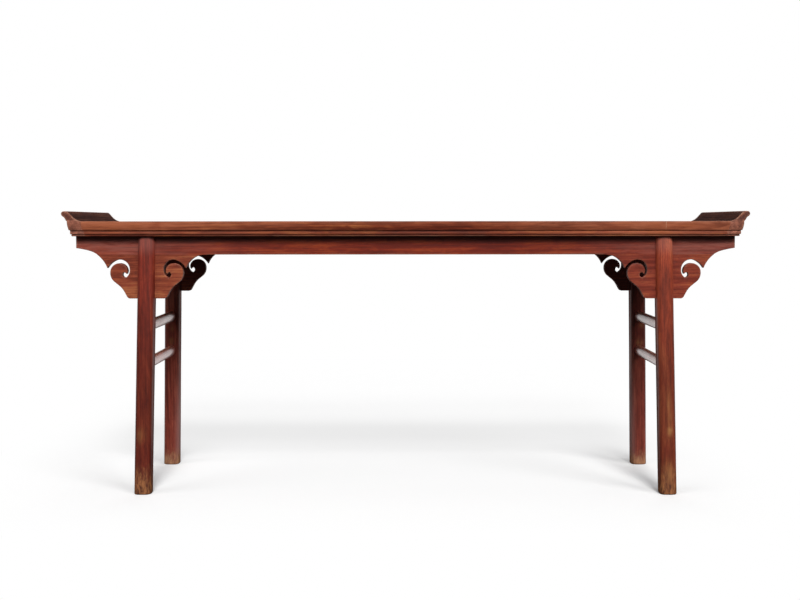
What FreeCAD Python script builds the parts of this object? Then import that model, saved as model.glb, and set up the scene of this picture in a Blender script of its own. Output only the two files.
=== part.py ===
import FreeCAD, Part
import math
import os

# Recessed-leg altar table with everted flanges. Millimetres, +Z up, the front faces -Y.
# The origin is on the floor, under the middle of the table.

# Top
top_height = 850.0
top_length = 2076.0
top_depth = 485.0
rail_width = 82.0

# Edge moulding of the top frame, from the upper arris down to the underside
upper_band_height = 25.0
upper_band_recede = 4.5
quirk_height = 2.5
quirk_depth = 2.2
torus_height = 10.0
torus_recede = 3.0
torus_swell = 2.4
cove_height = 3.5
cove_depth = 3.6
bead_height = 5.0
bead_swell = 2.0

# Everted flange, one timber with each end of the frame
flange_rise = 31.0
flange_foot_reach = 42.5
nose_overhang = 17.2
nose_radius = 8.0
flange_face_shares = ((-0.68, 0.155), (-0.40, 0.452), (-0.106, 0.897), (-0.028, 0.977))
crest_share = 0.22
nose_underside_shares = ((0.945, 0.616), (0.743, 0.494), (0.503, 0.394), (0.35, 0.277), (0.213, 0.135))

# Joints of the frame and the panel
joint_play = 0.2
rail_tenon_inset = 24.0
rail_tenon_lift = 10.0
rail_tenon_thickness = 14.0
rail_tenon_reach = 15.5
panel_thickness = 16.0
panel_play = 0.3
panel_tongue_thickness = 7.0
panel_tongue_reach = 9.0
panel_split_share = 0.54
brace_count = 5
brace_width = 42.0
brace_recess = 2.0
brace_tenon_width = 28.0
brace_tenon_thickness = 13.0
brace_tenon_reach = 14.0
dovetail_height = 5.0
dovetail_root = 27.0
dovetail_flare = 3.0

# Aprons and spandrels
board_thickness = 19.0
apron_height = 57.0
apron_end_height = 37.0
apron_end_inset = 17.5
apron_housing = 6.0
spandrel_drop = 136.5
spandrel_reach = 122.0
spandrel_tongue_thickness = 6.0
spandrel_tongue_height = 6.0
spandrel_tongue_end = 20.0

# Apron end curve: shares of the run from spandrel to apron end, and of its climb
end_curve_shares = ((0.136, 0.29), (0.317, 0.54), (0.633, 0.80))

# Spandrel outline: shares of the reach from the leg's axis and of the drop below the apron.
# A row is the middle and the end of an arc, or None and the end of a straight run.
outer_corner_share = 1.254
inner_corner_share = 1.516
spur_tip_shares = (1.0, 0.308)
outer_spur_shares = (1.130, 0.107)
inner_spur_shares = ((1.111, 0.147), (1.270, 0.042), (1.391, 0.0115))
scroll_shares = (
    ((0.889, 0.191), (0.770, 0.129)),
    ((0.525, 0.160), (0.432, 0.330)),
    ((0.463, 0.458), (0.533, 0.523)),
    ((0.620, 0.458), (0.582, 0.401)),
    ((0.545, 0.412), (0.511, 0.441)),
    ((0.494, 0.407), (0.487, 0.359)),
    ((0.548, 0.248), (0.697, 0.196)),
    ((0.862, 0.259), (0.930, 0.407)),
    ((0.906, 0.525), (0.828, 0.619)),
    (None, (0.725, 0.692)),
    ((0.630, 0.776), (0.561, 0.875)),
    (None, (0.520, 0.941)),
    ((0.480, 0.987), (0.414, 1.0)),
)

# Legs
leg_diameter = 57.0
leg_end_setback = 237.5
leg_face_setback = 47.0
leg_lean_x_share = 0.0255
leg_lean_y_share = 0.0285
leg_tenon_shoulder = 2.5
leg_tenon_thickness = 8.0
leg_tenon_width = 26.0
leg_tenon_height = 27.0

# Stretchers between the front and the back leg at each end
stretcher_heights = {"upper": 523.0, "lower": 404.0}
stretcher_height = 37.0
stretcher_width = 26.0
stretcher_tenon_height = 21.0
stretcher_tenon_width = 12.0
stretcher_tenon_reach = 18.0

# How far a cutting block runs past the wood it cuts
overrun = 4.0

frame_thickness = upper_band_height + quirk_height + torus_height + cove_height + bead_height
frame_bottom = top_height - frame_thickness
half_length = top_length / 2
half_depth = top_depth / 2
foot_line_x = half_length - flange_foot_reach
panel_half_length = foot_line_x - rail_width
panel_half_width = half_depth - rail_width
panel_bottom = top_height - panel_thickness
apron_bottom = frame_bottom - apron_height
apron_end_bottom = frame_bottom - apron_end_height
apron_half_length = half_length - apron_end_inset
spandrel_bottom = apron_bottom - spandrel_drop
outer_corner_reach = outer_corner_share * spandrel_reach
inner_corner_reach = inner_corner_share * spandrel_reach
leg_radius = leg_diameter / 2
slot_middle_height = (frame_bottom + spandrel_bottom) / 2


def vector(x, y, z):
    return FreeCAD.Vector(x, y, z)


def block(x_span, y_span, z_span):
    """A box between two values on each axis."""
    spans = [sorted(span) for span in (x_span, y_span, z_span)]
    sizes = [high - low for low, high in spans]
    corner = vector(*[low for low, high in spans])
    return Part.makeBox(sizes[0], sizes[1], sizes[2], corner)


def chain(start, steps):
    """Edges from start: a step is an end point, or the middle and the end point of an arc."""
    edges = []
    here = start
    for step in steps:
        if isinstance(step, tuple):
            middle, end = step
            edges.append(Part.Arc(here, middle, end).toShape())
        else:
            end = step
            edges.append(Part.LineSegment(here, end).toShape())
        here = end
    return edges


def prism(start, steps, travel):
    """A solid with a closed outline, drawn out along the vector travel."""
    edges = chain(start, list(steps) + [start])
    return Part.Face(Part.Wire(edges)).extrude(travel)


def plan_prism(corners, z_span):
    """A solid with a plan of straight sides between two heights."""
    low, high = z_span
    points = [vector(x, y, low) for x, y in corners]
    return prism(points[0], points[1:], vector(0, 0, high - low))


def flip_x(shape):
    return shape.mirror(vector(0, 0, 0), vector(1, 0, 0))


def flip_y(shape):
    return shape.mirror(vector(0, 0, 0), vector(0, 1, 0))


def leg_x(height):
    """Distance of a leg's axis from the middle of the table's length."""
    return half_length - leg_end_setback + leg_lean_x_share * (frame_bottom - height)


def leg_y(height):
    """Distance of a leg's axis from the middle of the table's depth."""
    return half_depth - leg_face_setback + leg_lean_y_share * (frame_bottom - height)


board_y = leg_y(slot_middle_height)
board_face_y = board_y + board_thickness / 2
board_back_y = board_y - board_thickness / 2


def moulding_steps(place):
    """The edge moulding below its upper arris; place turns (inset, drop) into a point."""
    band_radius = (upper_band_height**2 + upper_band_recede**2) / (2 * upper_band_recede)
    half_band = upper_band_height / 2
    half_band_inset = band_radius - math.sqrt(band_radius**2 - half_band**2)
    quirk_inset = upper_band_recede + quirk_depth
    torus_top = upper_band_height + quirk_height
    torus_foot = torus_top + torus_height
    torus_foot_inset = quirk_inset + torus_recede
    cove_inset = torus_foot_inset + cove_depth
    bead_top = torus_foot + cove_height
    return [
        (place(half_band_inset, half_band), place(upper_band_recede, upper_band_height)),
        place(quirk_inset, upper_band_height),
        place(quirk_inset, torus_top),
        (
            place((quirk_inset + torus_foot_inset) / 2 - torus_swell, torus_top + torus_height / 2),
            place(torus_foot_inset, torus_foot),
        ),
        place(cove_inset, torus_foot),
        place(cove_inset, bead_top),
        (
            place(cove_inset - bead_swell, bead_top + bead_height / 2),
            place(cove_inset, frame_thickness),
        ),
    ]


def flange_steps(place):
    """The flange from its foot on the top, over the crest and nose, to the upper arris.

    place turns (distance outside the arris, height above the top) into a point.
    """
    face = [place(x * flange_foot_reach, z * flange_rise) for x, z in flange_face_shares]
    crest = place(crest_share * nose_overhang, flange_rise)
    nose_x = nose_overhang - nose_radius
    nose_z = flange_rise - nose_radius
    diagonal = nose_radius * math.cos(math.radians(45))
    underside = [place(x * nose_overhang, z * flange_rise) for x, z in nose_underside_shares]
    return [
        (face[0], face[1]),
        face[2],
        (face[3], crest),
        place(nose_x, flange_rise),
        (place(nose_x + diagonal, nose_z + diagonal), place(nose_overhang, nose_z)),
        (underside[0], underside[1]),
        (underside[2], underside[3]),
        (underside[4], place(0, 0)),
    ]


def panel_housing():
    """The room that the frame's grooves leave for the panel's tongues."""
    x = panel_half_length + panel_tongue_reach + joint_play
    y = panel_half_width + panel_tongue_reach + joint_play
    z = panel_bottom + panel_tongue_thickness + joint_play
    return block((-x, x), (-y, y), (panel_bottom, z))


def apron_housing_cut():
    """The grooves under the frame for the top edges of the four aprons."""
    z_span = (frame_bottom - overrun, frame_bottom + apron_housing + joint_play)
    x_out = apron_half_length + joint_play
    x_in = apron_half_length - board_thickness - joint_play
    y_out = board_face_y + joint_play
    y_in = board_back_y - joint_play
    outside = block((-x_out, x_out), (-y_out, y_out), z_span)
    return outside.cut(block((-x_in, x_in), (-y_in, y_in), z_span))


def leg_tenon_blocks(play):
    """Two tenons on the front right leg, one on each side of the slot."""
    x = leg_x(frame_bottom)
    half_width = leg_tenon_width / 2 + play
    blocks = []
    for side in (-1, 1):
        near = board_thickness / 2 + joint_play + leg_tenon_shoulder - play
        far = near + leg_tenon_thickness + 2 * play
        y_span = (-board_y + side * near, -board_y + side * far)
        z_span = (frame_bottom, frame_bottom + leg_tenon_height + play)
        blocks.append(block((x - half_width, x + half_width), y_span, z_span))
    return blocks


def brace_places():
    """Where the braces cross the panel, evenly spaced between the frame's ends."""
    pitch = 2 * panel_half_length / (brace_count + 1)
    return [pitch * (i + 1) - panel_half_length for i in range(brace_count)]


def brace_tenon_block(x, play):
    half_width = brace_tenon_width / 2 + play
    y_reach = panel_half_width + brace_tenon_reach + play
    middle = (frame_bottom + brace_recess + panel_bottom) / 2
    half_thickness = brace_tenon_thickness / 2 + play
    z_span = (middle - half_thickness, middle + half_thickness)
    return block((x - half_width, x + half_width), (-y_reach, y_reach), z_span)


def dovetail_prism(x, play):
    """The dovetailed top of a brace, as long as the panel is wide between the rails."""
    root = dovetail_root / 2 + play
    tip = root + dovetail_flare
    top = panel_bottom + dovetail_height + play
    y = -panel_half_width
    return prism(
        vector(x - root, y, panel_bottom),
        [vector(x + root, y, panel_bottom), vector(x + tip, y, top), vector(x - tip, y, top)],
        vector(0, 2 * panel_half_width, 0),
    )


def rail_tenon_block(play):
    """The tenons at both ends of the front rail, as one bar through the rail."""
    x = foot_line_x + rail_tenon_reach + play
    y_span = (
        -half_depth + rail_tenon_inset - play,
        -panel_half_width - rail_tenon_inset + play,
    )
    z_low = frame_bottom + rail_tenon_lift
    return block((-x, x), y_span, (z_low - play, z_low + rail_tenon_thickness + play))


def front_rail():
    """Long member of the frame: moulded edge, mitred ends, tenons, grooves and mortises."""
    def place(inset, drop):
        return vector(-foot_line_x, -half_depth + inset, top_height - drop)

    inner = [place(rail_width, frame_thickness), place(rail_width, 0)]
    section = moulding_steps(place) + inner
    rail = prism(place(0, 0), section, vector(2 * foot_line_x, 0, 0))
    corners = (
        (-foot_line_x, -half_depth),
        (foot_line_x, -half_depth),
        (panel_half_length, -panel_half_width),
        (-panel_half_length, -panel_half_width),
    )
    rail = rail.common(plan_prism(corners, (frame_bottom, top_height)))
    rail = rail.fuse(rail_tenon_block(0)).removeSplitter()
    cuts = [panel_housing(), apron_housing_cut()]
    for mortise in leg_tenon_blocks(joint_play):
        cuts.append(mortise)
        cuts.append(flip_x(mortise))
    cuts += [brace_tenon_block(x, joint_play) for x in brace_places()]
    return rail.cut(cuts)


def right_flanged_end():
    """Short member of the frame with its flange, moulded on the end, front and back."""
    def place(outside, rise):
        return vector(half_length + outside, -half_depth, top_height + rise)

    def edge_place(inset, drop):
        return place(-inset, -drop)

    inner_x = panel_half_length
    section = flange_steps(place) + moulding_steps(edge_place)
    section.append(vector(inner_x, -half_depth, frame_bottom))
    section.append(vector(inner_x, -half_depth, top_height))
    body = prism(place(-flange_foot_reach, 0), section, vector(0, top_depth, 0))
    outer_x = half_length + nose_overhang
    corners = (
        (outer_x, -half_depth),
        (outer_x, half_depth),
        (foot_line_x, half_depth),
        (panel_half_length, panel_half_width),
        (panel_half_length, -panel_half_width),
        (foot_line_x, -half_depth),
    )
    body = body.common(plan_prism(corners, (frame_bottom, top_height + flange_rise)))
    body = body.common(depth_section_prism())
    housed = [panel_housing(), apron_housing_cut()]
    mortise = rail_tenon_block(joint_play)
    return body.cut(housed + [mortise, flip_y(mortise)])


def depth_section_prism():
    """The frame's section from front to back, with the flange's height above it."""
    def front(inset, drop):
        return vector(panel_half_length, -half_depth + inset, top_height - drop)

    def back(inset, drop):
        return vector(panel_half_length, half_depth - inset, top_height - drop)

    crest = -flange_rise
    halves = []
    for place in (front, back):
        steps = [place(0, 0)] + moulding_steps(place)
        steps += [place(half_depth, frame_thickness), place(half_depth, crest)]
        travel = vector(half_length + nose_overhang - panel_half_length, 0, 0)
        halves.append(prism(place(0, crest), steps, travel))
    return halves[0].fuse(halves[1])


def panel_board(y_span, lips):
    """A board of the panel; lips are the reach of its lower lip past each long side."""
    x = panel_half_length - panel_play
    tongue_x = panel_half_length + panel_tongue_reach
    tongue_top = panel_bottom + panel_tongue_thickness
    upper = block((-x, x), y_span, (panel_bottom, top_height))
    lip_span = (y_span[0] - lips[0], y_span[1] + lips[1])
    lip = block((-tongue_x, tongue_x), lip_span, (panel_bottom, tongue_top))
    slots = [dovetail_prism(x, joint_play) for x in brace_places()]
    return upper.fuse(lip).removeSplitter().cut(slots)


def panel_boards():
    """Front and back board; the front one's lip laps under the back one."""
    split_y = (2 * panel_split_share - 1) * panel_half_width
    outer_y = panel_half_width - panel_play
    tongue = panel_tongue_reach + panel_play
    front = panel_board((-outer_y, split_y), (tongue, panel_tongue_reach))
    back = panel_board((split_y, outer_y), (0, tongue))
    x = panel_half_length + panel_tongue_reach + overrun
    lap_span = (split_y, split_y + panel_tongue_reach + joint_play)
    lap_top = panel_bottom + panel_tongue_thickness + joint_play
    lap_room = block((-x, x), lap_span, (panel_bottom, lap_top))
    return front, back.cut(lap_room)


def cross_brace(x):
    """Batten under the panel, dovetailed into it and tenoned into both rails."""
    half_width = brace_width / 2
    y_span = (-panel_half_width, panel_half_width)
    body = block((x - half_width, x + half_width), y_span, (frame_bottom + brace_recess, panel_bottom))
    return body.fuse([dovetail_prism(x, 0), brace_tenon_block(x, 0)]).removeSplitter()


def spandrel_point(shares, side):
    """A point of the front right spandrel; side is 1 towards the end of the table."""
    across, down = shares
    x = leg_x(slot_middle_height) + side * across * spandrel_reach
    return vector(x, -board_face_y, apron_bottom - down * spandrel_drop)


def spandrel_steps(side):
    """The scroll of one side, from the tip of its spur down to its foot."""
    steps = []
    for middle, end in scroll_shares:
        point = spandrel_point(end, side)
        steps.append((spandrel_point(middle, side), point) if middle else point)
    return steps


def reversed_steps(start, steps):
    """The same run of steps, walked from its last point back to start."""
    points = [start] + [step[1] if isinstance(step, tuple) else step for step in steps]
    walked = []
    for index in reversed(range(len(steps))):
        step = steps[index]
        walked.append((step[0], points[index]) if isinstance(step, tuple) else points[index])
    return walked


def spandrel_tongue_block(play):
    """The tongue along the top of the front right spandrel."""
    middle_x = leg_x(slot_middle_height)
    x_span = (
        middle_x - inner_corner_reach + spandrel_tongue_end - play,
        middle_x + outer_corner_reach - spandrel_tongue_end + play,
    )
    half_thickness = spandrel_tongue_thickness / 2 + play
    y_span = (-board_y - half_thickness, -board_y + half_thickness)
    return block(x_span, y_span, (apron_bottom, apron_bottom + spandrel_tongue_height + play))


def front_right_spandrel():
    """Cloud-scroll board under the apron; it passes through the slot of the leg."""
    middle_x = leg_x(slot_middle_height)
    outer_corner = vector(middle_x + outer_corner_reach, -board_face_y, apron_bottom)
    inner_corner = vector(middle_x - inner_corner_reach, -board_face_y, apron_bottom)
    outer_tip = spandrel_point(spur_tip_shares, 1)
    inner_tip = spandrel_point(spur_tip_shares, -1)
    inner_spur = [spandrel_point(shares, -1) for shares in inner_spur_shares]
    inner_scroll = spandrel_steps(-1)
    steps = [(spandrel_point(outer_spur_shares, 1), outer_tip)] + spandrel_steps(1)
    steps.append(inner_scroll[-1][1])
    steps += reversed_steps(inner_tip, inner_scroll)
    steps += [(inner_spur[0], inner_spur[1]), (inner_spur[2], inner_corner)]
    board = prism(outer_corner, steps, vector(0, board_thickness, 0))
    return board.fuse(spandrel_tongue_block(0)).removeSplitter()


def front_apron():
    """Long board under the front rail, swept up at its ends and mitred to the end aprons."""
    x = apron_half_length
    top = frame_bottom + apron_housing
    start_x = leg_x(slot_middle_height) + outer_corner_reach
    run = x - start_x
    climb = apron_end_bottom - apron_bottom

    def place(across, height):
        return vector(across, -board_face_y, height)

    def curve(side):
        return [place(side * (start_x + a * run), apron_bottom + c * climb) for a, c in end_curve_shares]

    right = curve(1)
    left = curve(-1)
    steps = [
        place(start_x, apron_bottom),
        (right[0], right[1]),
        (right[2], place(x, apron_end_bottom)),
        place(x, top),
        place(-x, top),
        place(-x, apron_end_bottom),
        (left[2], left[1]),
        (left[0], place(-start_x, apron_bottom)),
    ]
    board = prism(steps[0], steps[1:], vector(0, board_thickness, 0))
    inner_x = x - board_thickness
    corners = ((-x, -board_face_y), (x, -board_face_y), (inner_x, -board_back_y), (-inner_x, -board_back_y))
    board = board.common(plan_prism(corners, (apron_bottom, top)))
    groove = spandrel_tongue_block(joint_play)
    return board.cut([groove, flip_x(groove)])


def right_end_apron():
    """Short board under the flanged end, mitred between the front and the back apron."""
    x = apron_half_length
    inner_x = x - board_thickness
    corners = ((x, -board_face_y), (x, board_face_y), (inner_x, board_back_y), (inner_x, -board_back_y))
    return plan_prism(corners, (apron_end_bottom, frame_bottom + apron_housing))


def leg_cylinder(radius):
    """The front right leg's round, longer than the leg at both ends."""
    low = -leg_radius
    high = frame_bottom + leg_radius
    start = vector(leg_x(low), -leg_y(low), low)
    end = vector(leg_x(high), -leg_y(high), high)
    return Part.makeCylinder(radius, (end - start).Length, start, end - start)


def stretcher_tenon_block(height, play):
    """The tenons at both ends of a right-hand stretcher, as one bar through it."""
    x = leg_x(height)
    y = leg_y(height) - leg_radius + stretcher_tenon_reach + play
    half_width = stretcher_tenon_width / 2 + play
    half_height = stretcher_tenon_height / 2 + play
    return block((x - half_width, x + half_width), (-y, y), (height - half_height, height + half_height))


def front_right_leg():
    """Round, leaning leg with a slot for apron and spandrel, and two tenons above it."""
    x = leg_x(frame_bottom)
    slab = block((0, 2 * x), (-2 * half_depth, 0), (0, frame_bottom))
    slot_half = board_thickness / 2 + joint_play
    slot_span = (-board_y - slot_half, -board_y + slot_half)
    slot = block((0, 2 * x), slot_span, (spandrel_bottom, frame_bottom + overrun))
    cuts = [slot] + [stretcher_tenon_block(z, joint_play) for z in stretcher_heights.values()]
    leg = leg_cylinder(leg_radius).common(slab)
    return leg.fuse(leg_tenon_blocks(0)).removeSplitter().cut(cuts)


def right_stretcher(height):
    """Oval stretcher, hollowed at its shoulders to fit round the legs."""
    x = leg_x(height)
    y = leg_y(height)
    oval = Part.Ellipse(
        vector(x, -y, height + stretcher_height / 2),
        vector(x + stretcher_width / 2, -y, height),
        vector(x, -y, height),
    )
    bar = Part.Face(Part.Wire([oval.toShape()])).extrude(vector(0, 2 * y, 0))
    near_leg = leg_cylinder(leg_radius + joint_play)
    bar = bar.cut([near_leg, flip_y(near_leg)])
    return bar.fuse(stretcher_tenon_block(height, 0)).removeSplitter()


def build():
    """Every piece of the table by its name."""
    pieces = {}
    rail = front_rail()
    pieces["front_rail"] = rail
    pieces["back_rail"] = flip_y(rail)
    end = right_flanged_end()
    pieces["right_flanged_end"] = end
    pieces["left_flanged_end"] = flip_x(end)
    pieces["front_panel_board"], pieces["back_panel_board"] = panel_boards()
    for number, x in enumerate(brace_places(), start=1):
        pieces["cross_brace_%d" % number] = cross_brace(x)
    apron = front_apron()
    pieces["front_apron"] = apron
    pieces["back_apron"] = flip_y(apron)
    end_apron = right_end_apron()
    pieces["right_end_apron"] = end_apron
    pieces["left_end_apron"] = flip_x(end_apron)
    corner_pieces = {"spandrel": front_right_spandrel(), "leg": front_right_leg()}
    for name, shape in corner_pieces.items():
        pieces["front_right_" + name] = shape
        pieces["front_left_" + name] = flip_x(shape)
        pieces["back_right_" + name] = flip_y(shape)
        pieces["back_left_" + name] = flip_x(flip_y(shape))
    for level, height in stretcher_heights.items():
        stretcher = right_stretcher(height)
        pieces["right_%s_stretcher" % level] = stretcher
        pieces["left_%s_stretcher" % level] = flip_x(stretcher)
    return pieces


def main():
    os.makedirs("parts", exist_ok=True)
    for name, shape in build().items():
        solid = shape.Solids[0] if len(shape.Solids) == 1 else shape
        solid.exportStep("parts/%s.step" % name)
        print(name, len(shape.Solids), solid.isValid(), round(solid.Volume))


main()
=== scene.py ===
"""Recessed-leg altar table with everted flanges, in old lacquered hardwood.

Metres, +Z up, the front faces -Y, the origin is on the floor under the middle of the table.
"""

import math

import bmesh
import bpy
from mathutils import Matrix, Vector, geometry, kdtree, noise


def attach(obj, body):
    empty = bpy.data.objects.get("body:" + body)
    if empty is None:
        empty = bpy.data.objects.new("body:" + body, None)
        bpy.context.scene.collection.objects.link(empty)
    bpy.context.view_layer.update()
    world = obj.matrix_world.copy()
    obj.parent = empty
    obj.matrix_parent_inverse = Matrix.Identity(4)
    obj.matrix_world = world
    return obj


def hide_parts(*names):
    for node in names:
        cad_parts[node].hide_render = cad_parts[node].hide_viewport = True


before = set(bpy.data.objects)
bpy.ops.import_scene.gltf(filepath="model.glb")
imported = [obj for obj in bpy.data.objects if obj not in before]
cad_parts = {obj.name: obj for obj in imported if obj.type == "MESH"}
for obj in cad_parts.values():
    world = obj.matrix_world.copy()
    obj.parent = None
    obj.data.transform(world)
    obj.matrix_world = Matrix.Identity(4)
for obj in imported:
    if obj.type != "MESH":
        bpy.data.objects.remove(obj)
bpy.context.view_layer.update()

# The wood is uneven in the same way in each run.
noise.seed_set(17)


# Sizes of the table

TOP_HEIGHT = 0.850
HALF_LENGTH = 1.038
HALF_DEPTH = 0.2425
RAIL_WIDTH = 0.082

UPPER_BAND_HEIGHT = 0.0276
UPPER_BAND_RECEDE = 0.0045
QUIRK_HEIGHT = 0.0052
QUIRK_DEPTH = 0.0030
TORUS_HEIGHT = 0.0068
TORUS_RECEDE = 0.0002
TORUS_SWELL = 0.0003
COVE_HEIGHT = 0.0024
COVE_DEPTH = 0.0030
BEAD_HEIGHT = 0.0040
BEAD_RECEDE = 0.0014
BEAD_SWELL = 0.0008

# Points of the flange, as shares of its foot or its overhang and of its rise
FLANGE_RISE = 0.031
FLANGE_FOOT_REACH = 0.0425
NOSE_OVERHANG = 0.0172
NOSE_RADIUS = 0.008
FLANGE_FACE_SHARES = ((-0.68, 0.155), (-0.40, 0.452), (-0.106, 0.897), (-0.028, 0.977))
CREST_SHARE = 0.22
NOSE_UNDERSIDE_SHARES = ((0.945, 0.616), (0.743, 0.494), (0.503, 0.394), (0.35, 0.277), (0.213, 0.135))

PANEL_THICKNESS = 0.016
PANEL_PLAY = 0.0003
PANEL_SPLIT_SHARE = 0.54
BRACE_COUNT = 5
BRACE_WIDTH = 0.042
BRACE_RECESS = 0.002

# Points of the apron's end and of the spandrel, as shares of their reach and their drop
BOARD_THICKNESS = 0.019
APRON_HEIGHT = 0.057
APRON_END_HEIGHT = 0.037
APRON_END_INSET = 0.0175
SPANDREL_DROP = 0.1365
SPANDREL_REACH = 0.122
END_CURVE_SHARES = ((0.136, 0.29), (0.317, 0.54), (0.633, 0.80))
OUTER_CORNER_SHARE = 1.254
INNER_CORNER_SHARE = 1.516
SPUR_TIP_SHARES = (1.0, 0.308)
OUTER_SPUR_SHARES = (1.130, 0.107)
INNER_SPUR_SHARES = ((1.111, 0.147), (1.270, 0.042), (1.391, 0.0115))
SCROLL_SHARES = (
    ((0.889, 0.191), (0.770, 0.129)),
    ((0.525, 0.160), (0.432, 0.330)),
    ((0.463, 0.458), (0.533, 0.523)),
    ((0.620, 0.458), (0.582, 0.401)),
    ((0.545, 0.412), (0.511, 0.441)),
    ((0.494, 0.407), (0.487, 0.359)),
    ((0.548, 0.248), (0.697, 0.196)),
    ((0.862, 0.259), (0.930, 0.407)),
    ((0.906, 0.525), (0.828, 0.619)),
    (None, (0.725, 0.692)),
    ((0.630, 0.776), (0.561, 0.875)),
    (None, (0.520, 0.941)),
    ((0.480, 0.987), (0.414, 1.0)),
)

# A leg's section is round at a squareness of 2. FOOT_ROUNDING is (height, how far inside).
LEG_HALF_WIDTH = 0.0270
LEG_SQUARENESS = 3.2
LEG_END_SETBACK = 0.2375
LEG_FACE_SETBACK = 0.047
LEG_LEAN_X_SHARE = 0.0255
LEG_LEAN_Y_SHARE = 0.0285
SLOT_PLAY = 0.0002
FOOT_ROUNDING = ((0.0, 0.0026), (0.0005, 0.0014), (0.0016, 0.0005), (0.0036, 0.0))
STRETCHER_LEVELS = {"upper": 0.523, "lower": 0.404}
STRETCHER_HEIGHT = 0.037
STRETCHER_WIDTH = 0.026

FRAME_THICKNESS = UPPER_BAND_HEIGHT + QUIRK_HEIGHT + TORUS_HEIGHT + COVE_HEIGHT + BEAD_HEIGHT
FRAME_BOTTOM = TOP_HEIGHT - FRAME_THICKNESS
FOOT_LINE = HALF_LENGTH - FLANGE_FOOT_REACH
PANEL_HALF_LENGTH = FOOT_LINE - RAIL_WIDTH
PANEL_HALF_WIDTH = HALF_DEPTH - RAIL_WIDTH
PANEL_BOTTOM = TOP_HEIGHT - PANEL_THICKNESS
APRON_BOTTOM = FRAME_BOTTOM - APRON_HEIGHT
APRON_END_BOTTOM = FRAME_BOTTOM - APRON_END_HEIGHT
APRON_HALF_LENGTH = HALF_LENGTH - APRON_END_INSET
SPANDREL_BOTTOM = APRON_BOTTOM - SPANDREL_DROP
OUTER_CORNER_REACH = OUTER_CORNER_SHARE * SPANDREL_REACH
INNER_CORNER_REACH = INNER_CORNER_SHARE * SPANDREL_REACH
SLOT_MIDDLE = (FRAME_BOTTOM + SPANDREL_BOTTOM) / 2


def leg_x(height):
    """How far a leg's middle line is from the table's middle along its length."""
    return HALF_LENGTH - LEG_END_SETBACK + LEG_LEAN_X_SHARE * (FRAME_BOTTOM - height)


def leg_y(height):
    """How far a leg's middle line is from the table's middle across its depth."""
    return HALF_DEPTH - LEG_FACE_SETBACK + LEG_LEAN_Y_SHARE * (FRAME_BOTTOM - height)


BOARD_Y = leg_y(SLOT_MIDDLE)
SPANDREL_X = leg_x(SLOT_MIDDLE)

# How finely curves and long runs are divided
CHORD = 0.0012
RUN_STEP = 0.012
FACE_SPACING = 0.0125
FINE_SPACING = 0.004
RETURN_COUNT = 8
MITRE_COUNT = 11
PANEL_SIDE_COUNT = 27
BRACE_STATIONS = 24
LEG_ARC_COUNT = 48
LEG_SIDE_COUNT = 6
BAR_SIDES = 56
BAR_ROWS = 96
BAR_END_ROWS = 6

# How soft the edges are, and how far wear spreads from them
ARRIS = 0.0009
TIGHT_ARRIS = 0.00012
SCROLL_ARRIS = ARRIS * 0.8
BRACE_ARRIS = 0.0012
EDGE_WEAR_REACH = 0.0016
WEAR_STEP = 0.002

# Waves that hand planes leave: how close they are along each axis, and how high
SLOW_WAVES, SLOW_WAVE_HEIGHT = (2.1, 5.0, 2.7), 0.00035
FAST_WAVES, FAST_WAVE_HEIGHT = (14.0, 22.0, 14.0), 0.00012
FLAT_FOOT_HEIGHT = 0.05

# A corner of an outline, or an edge of a mesh, is sharp from this angle on.
LEAST_SHARP_TURN = math.radians(28)
LEAST_SOFTENED_EDGE = math.radians(35)
LEAST_CREASED_EDGE = math.radians(40)

# Points this close lie on the same line, are the same point, are on a face or are off it.
HAIR = 1e-6
MERGED = 2e-6
ON_FACE = 1e-5
OFF_FACE = 1e-4


# Outlines

def arc_points(start, middle, end, chord):
    """Points after start on the arc through three points of a plane."""
    (ax, ay), (mx, my), (bx, by) = start, middle, end
    a2, m2, b2 = ax * ax + ay * ay, mx * mx + my * my, bx * bx + by * by
    d = 2 * (ax * (my - by) + mx * (by - ay) + bx * (ay - my))
    cx = (a2 * (my - by) + m2 * (by - ay) + b2 * (ay - my)) / d
    cy = (a2 * (bx - mx) + m2 * (ax - bx) + b2 * (mx - ax)) / d
    radius = math.hypot(ax - cx, ay - cy)
    from_angle = math.atan2(ay - cy, ax - cx)
    to_middle = (math.atan2(my - cy, mx - cx) - from_angle) % math.tau
    to_end = (math.atan2(by - cy, bx - cx) - from_angle) % math.tau
    sweep = to_end if to_middle < to_end else to_end - math.tau
    count = max(2, math.ceil(abs(sweep) * radius / chord))
    angles = [from_angle + sweep * k / count for k in range(1, count + 1)]
    return [(cx + radius * math.cos(t), cy + radius * math.sin(t)) for t in angles]


def walk(start, steps):
    """Points from start: a step is an end point, or the middle and the end of an arc."""
    points = [start]
    for step in steps:
        if isinstance(step[0], tuple):
            points += arc_points(points[-1], step[0], step[1], CHORD)
        else:
            points.append(step)
    return points


def turn_angle(before, here, after):
    """How far a line turns at a point, to the left, in radians."""
    first = math.atan2(here[1] - before[1], here[0] - before[0])
    second = math.atan2(after[1] - here[1], after[0] - here[0])
    return (second - first + math.pi) % math.tau - math.pi


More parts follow.
